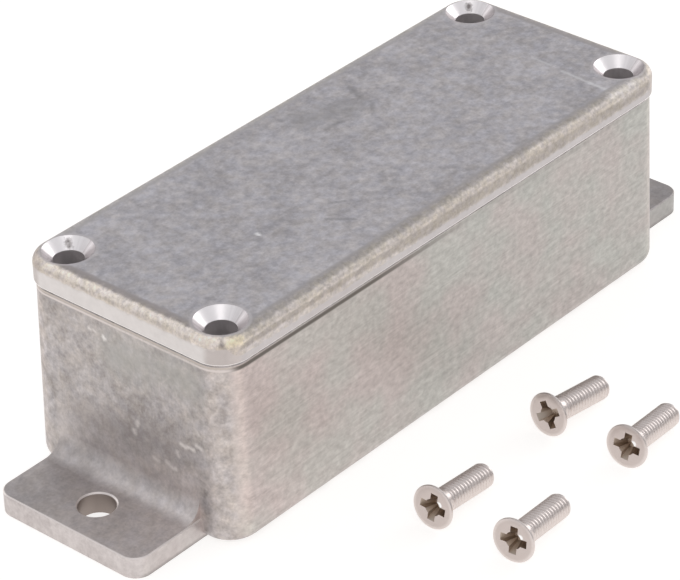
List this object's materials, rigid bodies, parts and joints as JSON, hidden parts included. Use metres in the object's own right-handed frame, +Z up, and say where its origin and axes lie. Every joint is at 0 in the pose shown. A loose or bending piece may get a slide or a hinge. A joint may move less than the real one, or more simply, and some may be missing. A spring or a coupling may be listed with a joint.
{
  "type": "aluminium enclosure",
  "caption": "Small die-cast aluminium box with a fixing lug at each end, a flat lid with countersunk corner holes, and its lid screws lying beside it.",
  "frame": {"origin": "middle of the base's underside, on the surface the box stands on", "axes": "+X along the box and its lugs, +Y across it away from the lying screws, +Z up through the lid"},
  "size_m": [0.115, 0.0671, 0.031],
  "materials": {
    "cast_base": "as-cast aluminium, long sides linished, fine speckle and pale nicks",
    "cast_lid": "as-cast aluminium, dull mottled top face, worn rounded edge, machined countersinks",
    "screw_steel": "nickel-plated steel, bright"
  },
  "bodies": {
    "root": {"base": "cast_base", "lid": "cast_lid", "lid_screw_1": "screw_steel", "lid_screw_2": "screw_steel", "lid_screw_3": "screw_steel", "lid_screw_4": "screw_steel"}
  },
  "joints": []
}
